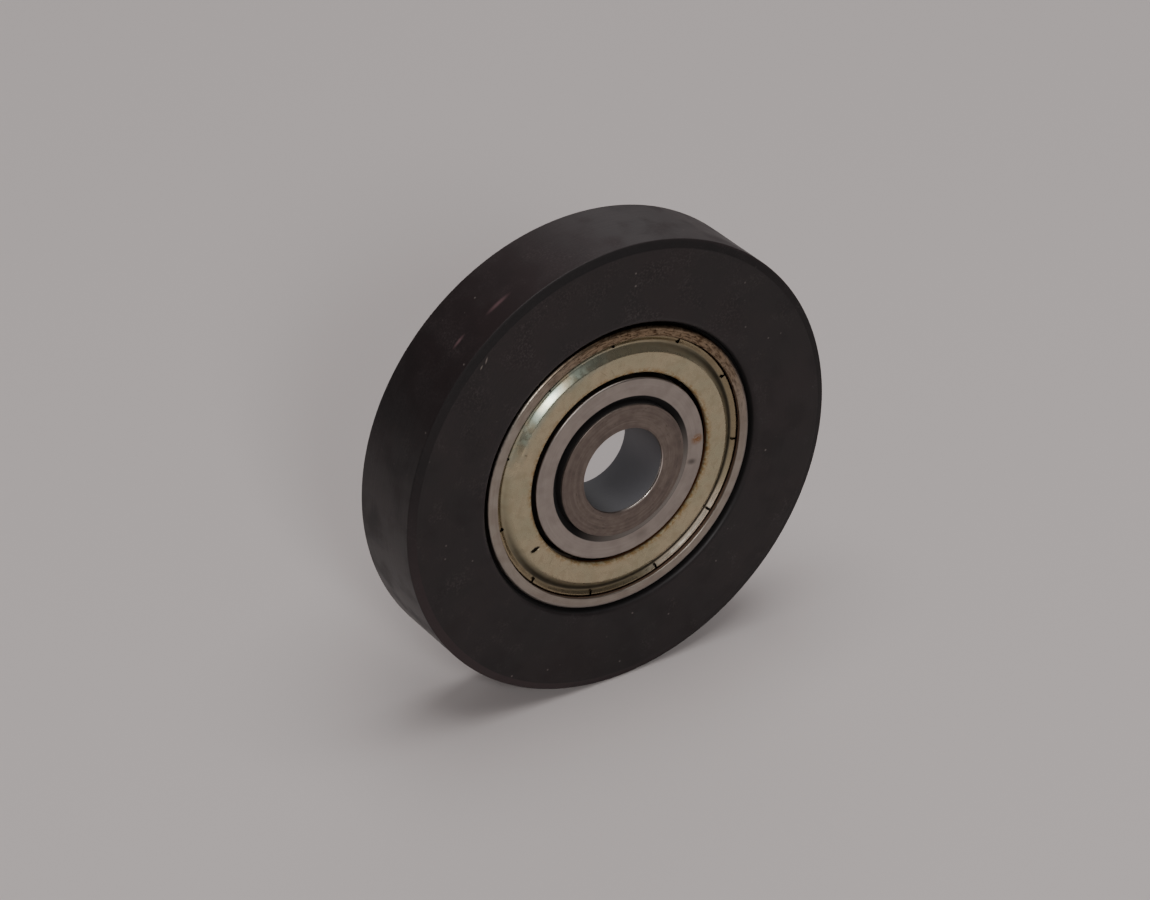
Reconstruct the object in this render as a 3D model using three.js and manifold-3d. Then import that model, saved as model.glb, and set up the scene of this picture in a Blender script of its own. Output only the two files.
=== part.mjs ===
// Cam follower roller: a solid plastic tyre pressed over a shielded deep-groove ball bearing,
// with a short steel reducing bush pressed into the bearing's bore from the front.
//
// Millimetres. The roller's axis is Y and its front faces -Y; +Z is up. The origin is on the axis,
// half way through the tyre's width.
//
// A turned piece is described by its outline in (radius, height), where height is the distance from
// the middle plane. The outline runs anticlockwise: out along the low end, up the outside, back in
// along the high end, and down the bore.

import * as THREE from "three";
import { mergeVertices } from "three/addons/utils/BufferGeometryUtils.js";
import Module from "manifold-3d";

const wasm = await Module();
wasm.setup();

// ---- Driving dimensions ----

const FRONT = -1;
const REAR = 1;

// The plastic tyre: 2 in over the tread and 3/8 in wide.
const TYRE_R = 25.4;
const TYRE_WIDTH = 9.525;
const TREAD_CHAMFER_RADIAL = 0.9;
const TREAD_CHAMFER_AXIAL = 0.34;
const MOUTH_ROUNDING = 0.6;
const MOUTH_CLEARANCE = 0.35; // between the mouth's wall and the bearing
const MOUTH_FLOOR = 3.6; // the bearing's seat starts this far from the middle plane

// The bearing: 15 mm bore, 32 mm outside and 9 mm wide.
const BEARING_BORE_R = 7.5;
const BEARING_R = 16;
const BEARING_WIDTH = 9;
const BALL_R = 4.7625 / 2;
const PITCH_R = 11.75;
const BALL_COUNT = 9;
const SHOULDER_GAP = 1.5; // from the pitch circle to each ring's shoulder
const RACEWAY_R = 2.45; // the groove is a little rounder than the ball
const RUNNING_GAP = 0.025;

// The reducing bush: for a 3/8 in stud.
const BUSH_BORE_R = 9.525 / 2;
const BUSH_FRONT = 4.9;
const BUSH_LENGTH = 6.9;

const PRESS_GAP = 0.03; // left between pressed pieces, so that no two solids overlap

// The pressed shields. Their heights are counted from the middle plane.
const SHIELD_THICKNESS = 0.35;
const SHIELD_TOP = 4.42;
const SHIELD_BORE_R = 10.74;
const SHIELD_LIP_LOW = 3.8; // how far in the turned bore edge reaches
const SHIELD_FLAT_R = 13;
const WALL_FOOT_R = 14;
const WALL_FOOT_HEIGHT = 3.7;
const BEAD_R = 14.6; // the bead's crest
const BEAD_TOP = 4.02;
const RIM_R = 15.05;
const RIM_TOP = 3.75;
const RIM_BOTTOM = 3.1;
const SLOT_COUNT = 11;
const SLOT_WIDTH = 0.3;
const SLOT_INNER_R = 14.05;
const FRONT_SLOT_DEG = 27.3;
const REAR_SLOT_DEG = 13;

// The shield's seat in the outer ring.
const SEAT_HEIGHT = 3.05;
const GROOVE_R = 15.2;
const LIP_R = 14.8;
const LIP_DEPTH = 0.45;

// The ribbon cage and its rivets.
const CAGE_THICKNESS = 0.45;
const CAGE_HALF_WIDTH = 1;
const CAGE_SPLIT = 0.01; // from the middle plane to each half
const POCKET_R = 2.52;
const RIVET_R = 0.38;
const RIVET_HOLE_R = 0.43;
const RIVET_HEAD_R = 0.62;
const RIVET_HEAD_HEIGHT = 0.34;
const RIVET_HEAD_GAP = 0.01; // between a head and the strip under it

// How finely round shapes are cut.
const TYRE_SIDES = 96;
const RING_SIDES = 54;
const SHIELD_SIDES = 5 * SLOT_COUNT;
const BUSH_SIDES = 48;
const RIVET_SIDES = 8;
const RACEWAY_STEPS = 6;
const CORNER_STEPS = 3;
const POCKET_STEPS = 5;

// ---- Materials ----

const finish = (color, roughness, metalness) =>
  new THREE.MeshStandardMaterial({ color, roughness, metalness });

const MATERIALS = {
  tyre: finish("#2b2323", 0.55, 0),
  ring: finish("#8b847e", 0.35, 1),
  shield: finish("#a3936f", 0.38, 1),
  bush: finish("#7a7370", 0.45, 1),
  cage: finish("#9a958f", 0.4, 1),
  ball: finish("#c4c4c4", 0.12, 1),
};

// ---- Turned shapes ----

// Points on an arc, from one angle to another in degrees, both ends included.
function arc(centreR, centreHeight, radius, fromDeg, toDeg, steps) {
  const points = [];
  for (let i = 0; i <= steps; i += 1) {
    const angle = THREE.MathUtils.degToRad(fromDeg + ((toDeg - fromDeg) * i) / steps);
    points.push([centreR + radius * Math.cos(angle), centreHeight + radius * Math.sin(angle)]);
  }
  return points;
}

// The same points on the other side of the middle plane, in the order that keeps the outline closed.
function mirrored(points) {
  return points.map(([r, height]) => [r, -height]).reverse();
}

// Turns a closed outline about Y. The side says which way its heights are counted.
function turned(outline, sides, side = REAR) {
  const points = outline.map(([r, height]) => new THREE.Vector2(r, side * height));
  if (side < 0) points.reverse();
  points.push(points[0].clone());
  return new THREE.LatheGeometry(points, sides);
}

// ---- Booleans ----

function solidOf(geometry) {
  const bare = geometry.clone();
  bare.deleteAttribute("normal");
  bare.deleteAttribute("uv");
  const merged = mergeVertices(bare, 1e-4);
  const mesh = new wasm.Mesh({
    numProp: 3,
    vertProperties: merged.attributes.position.array,
    triVerts: new Uint32Array(merged.index.array),
  });
  return new wasm.Manifold(mesh);
}

function geometryOf(solid) {
  const mesh = solid.getMesh();
  const geometry = new THREE.BufferGeometry();
  geometry.setAttribute("position", new THREE.BufferAttribute(mesh.vertProperties, 3));
  geometry.setIndex(new THREE.BufferAttribute(mesh.triVerts, 1));
  geometry.computeVertexNormals();
  return geometry;
}

function cut(geometry, tools) {
  const cutters = wasm.Manifold.union(tools.map(solidOf));
  return geometryOf(solidOf(geometry).subtract(cutters));
}

// ---- The tyre ----

function tyreGeometry() {
  const half = TYRE_WIDTH / 2;
  const bore = BEARING_R + PRESS_GAP;
  const wall = BEARING_R + MOUTH_CLEARANCE;
  const mouthR = wall + MOUTH_ROUNDING;
  const high = [
    [TYRE_R, half - TREAD_CHAMFER_AXIAL],
    [TYRE_R - TREAD_CHAMFER_RADIAL, half],
    ...arc(mouthR, half - MOUTH_ROUNDING, MOUTH_ROUNDING, 90, 180, CORNER_STEPS),
    [wall, MOUTH_FLOOR],
    [bore, MOUTH_FLOOR],
  ];
  return turned([...mirrored(high), ...high], TYRE_SIDES);
}

// ---- The bearing's rings ----

function outerRingGeometry() {
  const half = BEARING_WIDTH / 2;
  const corner = 0.35;
  const shoulder = PITCH_R + SHOULDER_GAP;
  const grooveCentre = PITCH_R + BALL_R + RUNNING_GAP - RACEWAY_R;
  const grooveDeg = THREE.MathUtils.radToDeg(Math.acos((shoulder - grooveCentre) / RACEWAY_R));
  const outside = arc(BEARING_R - corner, half - corner, corner, 0, 90, CORNER_STEPS);
  const lipEdge = 0.1;
  const seatEdge = 0.15;
  const seat = [
    [LIP_R + lipEdge, half],
    [LIP_R, half - lipEdge],
    [LIP_R, half - LIP_DEPTH],
    [GROOVE_R, half - LIP_DEPTH],
    [GROOVE_R, SEAT_HEIGHT],
    [shoulder + seatEdge, SEAT_HEIGHT],
    [shoulder, SEAT_HEIGHT - seatEdge],
  ];
  const raceway = arc(grooveCentre, 0, RACEWAY_R, grooveDeg, -grooveDeg, RACEWAY_STEPS);
  const outline = [...mirrored(outside), ...outside, ...seat, ...raceway, ...mirrored(seat)];
  return turned(outline, RING_SIDES);
}

function innerRingGeometry() {
  const half = BEARING_WIDTH / 2;
  const edge = 0.2;
  const mouth = 0.75; // the chamfer at each end of the bore
  const shoulder = PITCH_R - SHOULDER_GAP;
  const grooveCentre = PITCH_R - BALL_R - RUNNING_GAP + RACEWAY_R;
  const grooveDeg = THREE.MathUtils.radToDeg(Math.acos((grooveCentre - shoulder) / RACEWAY_R));
  const raceway = arc(
    grooveCentre,
    0,
    RACEWAY_R,
    180 + grooveDeg,
    180 - grooveDeg,
    RACEWAY_STEPS,
  );
  const end = [
    [shoulder, half - edge],
    [shoulder - edge, half],
    [BEARING_BORE_R + mouth, half],
    [BEARING_BORE_R, half - mouth],
  ];
  return turned([...mirrored(end), ...raceway, ...end], RING_SIDES);
}

// ---- The reducing bush ----

function bushGeometry() {
  const outside = BEARING_BORE_R - PRESS_GAP;
  const rear = BUSH_LENGTH - BUSH_FRONT;
  const frontEdge = 0.1;
  const lead = 0.35; // a taper that guides it into the ring
  const boreEdge = 0.12;
  const outline = [
    [BUSH_BORE_R + boreEdge, -BUSH_FRONT],
    [outside - frontEdge, -BUSH_FRONT],
    [outside, -BUSH_FRONT + frontEdge],
    [outside, rear - lead],
    [outside - lead / 2, rear],
    [BUSH_BORE_R + boreEdge, rear],
    [BUSH_BORE_R, rear - boreEdge],
    [BUSH_BORE_R, -BUSH_FRONT + boreEdge],
  ];
  return turned(outline, BUSH_SIDES);
}

// ---- The shields ----

// A flat ring with its bore edge turned in, a sloping wall, and a beaded rim whose edge is hemmed
// under, which snaps into the outer ring's groove. Slots across the rim let it spring.
function shieldGeometry(side, slotDeg) {
  const under = SHIELD_TOP - SHIELD_THICKNESS;
  const lipRounding = 0.2;
  const shoulderRounding = 0.12;
  const rimRounding = 0.12;
  const crest = 0.14; // the narrow flat left on top of the bead
  const outline = [
    [SHIELD_BORE_R, SHIELD_LIP_LOW],
    [SHIELD_BORE_R + SHIELD_THICKNESS, SHIELD_LIP_LOW],
    [SHIELD_BORE_R + SHIELD_THICKNESS, under],
    [SHIELD_FLAT_R - SHIELD_THICKNESS / 2, under],
    [WALL_FOOT_R - SHIELD_THICKNESS, RIM_BOTTOM],
    [RIM_R - rimRounding, RIM_BOTTOM],
    [RIM_R, RIM_BOTTOM + rimRounding],
    [RIM_R, RIM_TOP],
    [BEAD_R + crest / 2, BEAD_TOP],
    [BEAD_R - crest / 2, BEAD_TOP],
    [WALL_FOOT_R, WALL_FOOT_HEIGHT],
    [SHIELD_FLAT_R + shoulderRounding, SHIELD_TOP - shoulderRounding / 3],
    [SHIELD_FLAT_R, SHIELD_TOP],
    [SHIELD_BORE_R + lipRounding, SHIELD_TOP],
    [SHIELD_BORE_R, SHIELD_TOP - lipRounding],
  ];
  const pressed = turned(outline, SHIELD_SIDES, side);
  const slotLength = 2;
  const slots = [];
  for (let i = 0; i < SLOT_COUNT; i += 1) {
    const slot = new THREE.BoxGeometry(slotLength, BEARING_WIDTH, SLOT_WIDTH);
    slot.translate(SLOT_INNER_R + slotLength / 2, 0, 0);
    slot.rotateY(-THREE.MathUtils.degToRad(slotDeg + (360 * i) / SLOT_COUNT));
    slots.push(slot);
  }
  return cut(pressed, slots);
}

// ---- The cage ----

// One section of the ribbon at a radius: points (angle, height) right round the ring, over each
// ball on a circle of the given radius and flat between the balls.
function ribbonLine(r, ballClearance, flat) {
  const offset = r - PITCH_R;
  const hoop = Math.sqrt(ballClearance ** 2 - offset ** 2);
  const foot = Math.acos(flat / hoop);
  const line = [];
  for (let ball = 0; ball < BALL_COUNT; ball += 1) {
    const centre = (2 * Math.PI * ball) / BALL_COUNT;
    for (let step = -POCKET_STEPS; step <= POCKET_STEPS; step += 1) {
      const lean = (foot * step) / POCKET_STEPS;
      line.push([centre + Math.asin((hoop * Math.sin(lean)) / r), hoop * Math.cos(lean)]);
    }
    line.push([centre + Math.PI / BALL_COUNT, flat]);
  }
  return line;
}

// A pressed ribbon ring: its under and upper skins are grids, joined along both edges.
function ribbonGeometry(side) {
  const radii = [PITCH_R - CAGE_HALF_WIDTH, PITCH_R, PITCH_R + CAGE_HALF_WIDTH];
  const under = radii.map((r) => ribbonLine(r, POCKET_R, CAGE_SPLIT));
  const upper = radii.map((r) =>
    ribbonLine(r, POCKET_R + CAGE_THICKNESS, CAGE_SPLIT + CAGE_THICKNESS),
  );
  // The section's outline: out along the under skin, and back in along the upper one.
  const loop = [
    ...radii.map((r, i) => ({ r, line: under[i] })),
    ...radii.map((r, i) => ({ r, line: upper[i] })).reverse(),
  ];
  const around = under[0].length;
  const positions = [];
  for (const { r, line } of loop) {
    for (const [angle, height] of line) {
      positions.push(r * Math.cos(angle), side * height, r * Math.sin(angle));
    }
  }
  const faces = [];
  for (let i = 0; i < loop.length; i += 1) {
    const next = (i + 1) % loop.length;
    for (let j = 0; j < around; j += 1) {
      const a = i * around + j;
      const b = next * around + j;
      const c = next * around + ((j + 1) % around);
      const d = i * around + ((j + 1) % around);
      if (side > 0) faces.push(a, b, c, a, c, d);
      else faces.push(a, c, b, a, d, c);
    }
  }
  const geometry = new THREE.BufferGeometry();
  geometry.setAttribute("position", new THREE.Float32BufferAttribute(positions, 3));
  geometry.setIndex(faces);
  return geometry;
}

// The angle of a rivet, half way between two balls.
const rivetAngle = (i) => (2 * Math.PI * (i + 0.5)) / BALL_COUNT;

// A place on the pitch circle, at an angle from +X towards +Z.
const onPitchCircle = (angle) =>
  new THREE.Vector3(PITCH_R * Math.cos(angle), 0, PITCH_R * Math.sin(angle));

function cageHalfGeometry(side) {
  const holes = [];
  for (let i = 0; i < BALL_COUNT; i += 1) {
    const hole = new THREE.CylinderGeometry(RIVET_HOLE_R, RIVET_HOLE_R, BALL_R, RIVET_SIDES);
    holes.push(hole.translate(...onPitchCircle(rivetAngle(i))));
  }
  return cut(ribbonGeometry(side), holes);
}

function rivetGeometry() {
  const seat = CAGE_SPLIT + CAGE_THICKNESS + RIVET_HEAD_GAP;
  const high = [
    [RIVET_R, seat],
    [RIVET_HEAD_R, seat],
    [RIVET_HEAD_R * 0.75, seat + RIVET_HEAD_HEIGHT * 0.75],
    [0, seat + RIVET_HEAD_HEIGHT],
  ];
  const points = [...mirrored(high), ...high].map(([r, height]) => new THREE.Vector2(r, height));
  return new THREE.LatheGeometry(points, RIVET_SIDES);
}

// ---- Assembly ----

const follower = new THREE.Group();

function add(name, geometry, material, place) {
  const mesh = new THREE.Mesh(geometry, material);
  mesh.name = name;
  if (place) mesh.position.copy(place);
  follower.add(mesh);
}

add("roller_tyre", tyreGeometry(), MATERIALS.tyre);
add("outer_ring", outerRingGeometry(), MATERIALS.ring);
add("inner_ring", innerRingGeometry(), MATERIALS.ring);
add("reducing_bush", bushGeometry(), MATERIALS.bush);
add("shield_front", shieldGeometry(FRONT, FRONT_SLOT_DEG), MATERIALS.shield);
add("shield_rear", shieldGeometry(REAR, REAR_SLOT_DEG), MATERIALS.shield);
add("cage_half_front", cageHalfGeometry(FRONT), MATERIALS.cage);
add("cage_half_rear", cageHalfGeometry(REAR), MATERIALS.cage);

for (let i = 0; i < BALL_COUNT; i += 1) {
  const ballPlace = onPitchCircle((2 * Math.PI * i) / BALL_COUNT);
  add(`ball_${i + 1}`, new THREE.IcosahedronGeometry(BALL_R, 2), MATERIALS.ball, ballPlace);
  add(`cage_rivet_${i + 1}`, rivetGeometry(), MATERIALS.cage, onPitchCircle(rivetAngle(i)));
}

export default follower;
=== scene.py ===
"""The looks of a cam follower roller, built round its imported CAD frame.

The roller's axis is Y and its front faces -Y. The pieces come in the order of assembly: the
bearing's inner ring, outer ring, balls and cage, then its shields, the reducing bush, and the tyre.
Clock angles are in degrees from the top, clockwise as seen from the front.
"""

import bmesh
import bpy
import numpy as np
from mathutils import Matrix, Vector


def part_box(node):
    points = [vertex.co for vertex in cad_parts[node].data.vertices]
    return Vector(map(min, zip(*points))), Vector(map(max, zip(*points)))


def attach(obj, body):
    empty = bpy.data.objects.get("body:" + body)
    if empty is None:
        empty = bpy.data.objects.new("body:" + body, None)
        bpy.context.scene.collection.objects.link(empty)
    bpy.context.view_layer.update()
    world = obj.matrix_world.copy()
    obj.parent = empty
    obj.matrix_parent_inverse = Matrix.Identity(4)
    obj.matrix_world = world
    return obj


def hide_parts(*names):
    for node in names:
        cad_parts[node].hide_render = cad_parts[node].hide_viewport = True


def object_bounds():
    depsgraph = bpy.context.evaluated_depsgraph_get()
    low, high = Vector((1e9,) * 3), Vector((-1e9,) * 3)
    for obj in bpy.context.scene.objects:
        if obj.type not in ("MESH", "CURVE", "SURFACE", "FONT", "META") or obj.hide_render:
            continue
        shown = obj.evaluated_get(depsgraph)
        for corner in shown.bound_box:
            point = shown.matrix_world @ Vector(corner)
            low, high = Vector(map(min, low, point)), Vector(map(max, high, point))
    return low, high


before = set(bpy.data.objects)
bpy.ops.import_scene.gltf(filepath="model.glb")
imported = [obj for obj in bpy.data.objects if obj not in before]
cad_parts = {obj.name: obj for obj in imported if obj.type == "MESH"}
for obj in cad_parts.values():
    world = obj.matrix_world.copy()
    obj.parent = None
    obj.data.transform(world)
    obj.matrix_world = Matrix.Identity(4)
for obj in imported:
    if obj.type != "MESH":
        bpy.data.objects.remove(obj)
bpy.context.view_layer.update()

MM = 0.001


# ---- Inner ring ----
# The ring that stays still on the stud: through-hardened bearing steel, turned, hardened and then
# ground on its faces, bore and raceway. Its bore has a wide chamfer at each end, painted black for
# old dirt and for the shade in it.

inner_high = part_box("inner_ring")[1]
INNER_FACE = inner_high.y
INNER_SHOULDER_R = inner_high.z
INNER_EDGE = 0.2 * MM
BORE_R = 7.5 * MM
BORE_CHAMFER = 0.75 * MM
PITCH_R = 11.75 * MM
BALL_R = 4.7625 / 2 * MM
RACEWAY_R = 2.45 * MM
RACEWAY_GAP = 0.025 * MM
RACEWAY_STEPS = 24
RING_SIDES = 360


def rounded(corners, steps=6):
    """The closed outline through (radius, along, fillet) corners. At each corner with a fillet f,
    an arc of radius f touches both sides; a point just past each tangent keeps the flats flat."""
    outline = []
    count = len(corners)
    for i, (r, y, fillet) in enumerate(corners):
        here = np.array((r, y))
        if fillet == 0:
            outline.append(here)
            continue
        before = np.array(corners[i - 1][:2]) - here
        after = np.array(corners[(i + 1) % count][:2]) - here
        room = [np.linalg.norm(before), np.linalg.norm(after)]
        before, after = before / room[0], after / room[1]
        half = np.arccos(np.clip(before @ after, -1, 1)) / 2
        reach = fillet / np.tan(half)
        centre = here + (before + after) / np.linalg.norm(before + after) * fillet / np.sin(half)
        start, end = here + before * reach - centre, here + after * reach - centre
        turn = np.sign(start[0] * end[1] - start[1] * end[0])
        margin = 0.35 * fillet
        if room[0] > reach + 2 * margin:
            outline.append(here + before * (reach + margin))
        for angle in np.linspace(0, np.pi - 2 * half, steps + 1) * turn:
            c, s = np.cos(angle), np.sin(angle)
            outline.append(centre + (c * start[0] - s * start[1], s * start[0] + c * start[1]))
        if room[1] > reach + 2 * margin:
            outline.append(here + after * (reach + margin))
    return np.array(outline)


def surface(name, grid, wrap_rows=True):
    """A mesh from a grid of points, rows by columns. Columns close round on themselves, and so do
    rows if they wrap. Points that coincide become one, and faces are turned to point outwards."""
    rows, columns = grid.shape[:2]
    index = np.arange(rows * columns).reshape(rows, columns)
    right = np.roll(index, -1, axis=1)
    lower = index[: rows if wrap_rows else rows - 1]
    upper = np.roll(index, -1, axis=0)[: len(lower)]
    upper_right = np.roll(right, -1, axis=0)[: len(lower)]
    faces = np.stack([lower, right[: len(lower)], upper_right, upper], axis=-1).reshape(-1, 4)
    mesh = bpy.data.meshes.new(name)
    mesh.from_pydata(grid.reshape(-1, 3).tolist(), [], faces.tolist())
    work = bmesh.new()
    work.from_mesh(mesh)
    bmesh.ops.remove_doubles(work, verts=work.verts, dist=1e-7)
    bmesh.ops.recalc_face_normals(work, faces=work.faces)
    work.to_mesh(mesh)
    work.free()
    mesh.shade_smooth()
    mesh.set_sharp_from_angle(angle=np.radians(40))
    piece = bpy.data.objects.new(name, mesh)
    bpy.context.scene.collection.objects.link(piece)
    return piece


def turned(outline, sides):
    """A grid that carries an outline of (radius, along) round the Y axis: at an angle a from +X
    towards +Z, a point stands at (radius cos a, along, radius sin a)."""
    angle = np.linspace(0, 2 * np.pi, sides, endpoint=False)
    r, y = outline[:, :1], outline[:, 1:]
    return np.stack([r * np.cos(angle), y + 0 * angle, r * np.sin(angle)], axis=-1)


def groove(centre_r, from_angle, to_angle):
    """The raceway's arc, in degrees round its own centre on the middle plane."""
    angle = np.radians(np.linspace(from_angle, to_angle, RACEWAY_STEPS + 1))
    return np.stack([centre_r + RACEWAY_R * np.cos(angle), RACEWAY_R * np.sin(angle)], axis=-1)


def linear(hex_colour, alpha=1.0):
    """An sRGB hex colour as the linear values that a shader takes."""
    value = np.array([int(hex_colour[i : i + 2], 16) for i in (1, 3, 5)]) / 255
    low, high = value / 12.92, ((value + 0.055) / 1.055) ** 2.4
    return (*np.where(value <= 0.04045, low, high).tolist(), alpha)


def node(tree, kind, inputs, out=0, **settings):
    """Adds a shader node with its settings and links, and gives one of its outputs, if it has any.
    An input is a value or another node's output."""
    made = tree.nodes.new("ShaderNode" + kind)
    for name, value in settings.items():
        setattr(made, name, value)
    for key, value in inputs.items():
        if isinstance(value, bpy.types.NodeSocket):
            tree.links.new(value, made.inputs[key])
        else:
            made.inputs[key].default_value = value
    return made.outputs[out] if made.outputs else None


def material(name):
    """A material with an empty node tree."""
    made = bpy.data.materials.new(name)
    made.use_nodes = True
    made.node_tree.nodes.clear()
    return made, made.node_tree


def round_the_axis(tree):
    """The place on the piece, its radius from the roller's axis, how far along the axis it is, and
    its direction from the axis as a unit vector (x, z)."""
    place = node(tree, "TexCoord", {}, out="Object")
    part = node(tree, "SeparateXYZ", {0: place}).node.outputs
    flat = node(tree, "CombineXYZ", {0: part["X"], 1: part["Z"]})
    radius = node(tree, "VectorMath", {0: flat}, out="Value", operation="LENGTH")
    direction = node(tree, "VectorMath", {0: flat}, operation="NORMALIZE")
    return place, radius, part["Y"], direction


def turning_marks(tree, radius, along, direction, pitch, runs):
    """Tool marks that run round the axis: noise that changes every pitch along the radius or the
    axis, and only a few times, its runs, on the way round."""
    across = node(tree, "Math", {0: radius, 1: 1 / pitch}, operation="MULTIPLY")
    depth = node(tree, "Math", {0: along, 1: 1 / pitch}, operation="MULTIPLY")
    sweep = node(tree, "VectorMath", {0: direction, "Scale": runs}, operation="SCALE")
    part = node(tree, "SeparateXYZ", {0: sweep}).node.outputs
    where = node(tree, "CombineXYZ", {0: across, 1: part["X"], 2: part["Y"]})
    inputs = {"Vector": where, "W": depth, "Scale": 1.0, "Detail": 3.0}
    return node(tree, "TexNoise", inputs, noise_dimensions="4D")


SMOOTH = {"interpolation_type": "SMOOTHSTEP"}


def patches(tree, place, size, low, high, detail=4.0):
    """Cloudy patches of about the given size: noise, with all under low made 0 and over high 1."""
    noise = node(tree, "TexNoise", {"Vector": place, "Scale": 1 / size, "Detail": detail})
    return node(tree, "MapRange", {0: noise, 1: low, 2: high}, **SMOOTH)


def facing(tree, direction, clock, fade):
    """1 round one clock angle, falling to 0 where the cosine of the angle from it is fade."""
    toward = (np.sin(np.radians(clock)), np.cos(np.radians(clock)), 0.0)
    dot = node(tree, "VectorMath", {0: direction, 1: toward}, out="Value", operation="DOT_PRODUCT")
    return node(tree, "MapRange", {0: dot, 1: fade, 2: 1.0}, **SMOOTH)


def mark(tree, place, clock, radius, size, soft=0.5, lean=0.0, along=0.0):
    """1 on an oval mark and 0 off it. Its middle is at a clock angle and a radius, its size is how
    far it reaches round, along and away from the axis, and it leans in degrees from the radius. The
    place is turned and scaled until the oval is a unit ball, and its length is then compared."""
    angle = np.radians(clock)
    middle = (radius * np.sin(angle), along, radius * np.cos(angle))
    turn = (0.0, np.radians(clock + lean), 0.0)
    inputs = {"Vector": place, "Location": middle, "Rotation": turn, "Scale": size}
    ball = node(tree, "Mapping", inputs, vector_type="TEXTURE")
    length = node(tree, "VectorMath", {0: ball}, out="Value", operation="LENGTH")
    return node(tree, "MapRange", {0: length, 1: 1.0, 2: 1.0 - soft}, **SMOOTH)


def together(tree, *masks):
    """Where several masks meet: one multiplied by the next."""
    result = masks[0]
    for mask in masks[1:]:
        result = node(tree, "Math", {0: result, 1: mask}, operation="MULTIPLY")
    return result


def coated(tree, ground, *coats):
    """A ground colour with coats laid over it, each a colour and a mask of how thickly it lies."""
    colour = linear(ground)
    for over, amount in coats:
        inputs = {0: amount, 6: colour, 7: linear(over)}
        colour = node(tree, "Mix", inputs, out=2, data_type="RGBA")
    return colour


def inner_ring_steel():
    """Ground bearing steel: a satin grey broken by fine rings from the grinding wheel, drawn
    0.12 mm apart, where real ones are finer, so that they show. The chamfer is painted black for
    packed dirt and for the shade in it, and painted lighter at the lower right, where light falls
    on
    it: painted light. The face has a rust spot and grey stains at the lower right."""
    made, tree = material("ground_inner_ring_steel")
    place, radius, along, direction = round_the_axis(tree)
    rings = turning_marks(tree, radius, along, direction, 0.12 * MM, 2.0)
    cloud = patches(tree, place, 1.6 * MM, 0.35, 0.7)
    # Painted light: the chamfer is painted lighter towards the lower right, where light falls.
    chamfer_lit_side = facing(tree, direction, 142, 0.1)
    # The chamfer is painted black for packed dirt and for the shade that falls in it.
    chamfer_r = BORE_R + BORE_CHAMFER
    inside = {0: radius, 1: chamfer_r + 0.04 * MM, 2: chamfer_r - 0.06 * MM}
    dirt_and_shade = node(tree, "MapRange", inside, **SMOOTH)
    spread = patches(tree, place, 0.3 * MM, 0.3, 0.55)
    spot = mark(tree, place, 87, 9.4 * MM, (0.8 * MM, MM, 1.0 * MM), 0.8, along=-INNER_FACE)
    rust = together(tree, spot, spread)
    stain = mark(tree, place, 103, 8.95 * MM, (0.5 * MM, MM, 0.8 * MM), 0.9, along=-INNER_FACE)
    smear = mark(tree, place, 163, 8.9 * MM, (1.3 * MM, MM, 0.9 * MM), 0.9, along=-INNER_FACE)
    colour = coated(
        tree, "#ada49c",
        ("#968d87", rings),
        ("#877f7a", together(tree, cloud, 0.4)),
        ("#7c736c", together(tree, smear, 0.5)),
        ("#3f3a37", together(tree, stain, 0.65)),
        ("#8a5a22", together(tree, rust, 0.85)),
        # Black for dirt and painted shade in the chamfer, lighter at the lower right as painted
        # light.
        ("#0e0908", dirt_and_shade),
        ("#8b817a", together(tree, dirt_and_shade, chamfer_lit_side)),
    )
    dull = node(tree, "Math", {0: together(tree, rust, 0.55), 1: dirt_and_shade}, operation="MAXIMUM")
    metal = node(tree, "Math", {0: 1.0, 1: dull}, operation="SUBTRACT")
    satin = node(tree, "MapRange", {0: cloud, 3: 0.3, 4: 0.4})
    rough = node(tree, "Mix", {0: dull, 2: satin, 3: 0.95})
    relief = node(tree, "Bump", {"Height": rings, "Distance": 0.004 * MM})
    shader = node(
        tree, "BsdfPrincipled",
        {"Base Color": colour, "Metallic": metal, "Roughness": rough, "Normal": relief},
    )
    node(tree, "OutputMaterial", {0: shader})
    return made


def finish(piece, made, body, slot, *replaced):
    """Gives a piece its material and its body, and hides the CAD nodes it stands for.
    Its slot is not used.
    """
    piece.data.materials.append(made)
    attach(piece, body)
    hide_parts(*replaced)


inner_centre = PITCH_R - BALL_R - RACEWAY_GAP + RACEWAY_R
inner_open = np.arccos((inner_centre - INNER_SHOULDER_R) / RACEWAY_R)
inner_half = rounded(
    [
        (INNER_SHOULDER_R, RACEWAY_R * np.sin(inner_open) + 0.05 * MM, 0.0),
        (INNER_SHOULDER_R, INNER_FACE, INNER_EDGE),
        (BORE_R + BORE_CHAMFER, INNER_FACE, 0.04 * MM),
        (BORE_R, INNER_FACE - BORE_CHAMFER, 0.1 * MM),
        (BORE_R, 0.0, 0.0),
    ]
)[:-1]
inner_spread = np.degrees(inner_open)
inner_outline = np.concatenate(
    [
        groove(inner_centre, 180 + inner_spread, 180 - inner_spread),
        inner_half,
        inner_half[::-1] * (1, -1),
    ]
)
inner = surface("bearing_inner_ring", turned(inner_outline, RING_SIDES))
finish(inner, inner_ring_steel(), "hub", "ring", "inner_ring")


# ---- Outer ring ----
# The ring that turns with the tyre: the same ground steel, with a groove behind a thin lip at each
# face that the shield snaps into. Its rounded outer corners stand in the tyre's mouth.

outer_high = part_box("outer_ring")[1]
OUTER_R = outer_high.z
OUTER_FACE = outer_high.y
OUTER_CORNER = 0.4 * MM
LIP_R = 14.8 * MM
LIP_EDGE = 0.12 * MM
LIP_DEPTH = 0.45 * MM
GROOVE_R = 15.2 * MM
SEAT = 3.05 * MM
SHOULDER_RISE = 1.5 * MM
OUTER_SHOULDER_R = PITCH_R + SHOULDER_RISE


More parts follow.
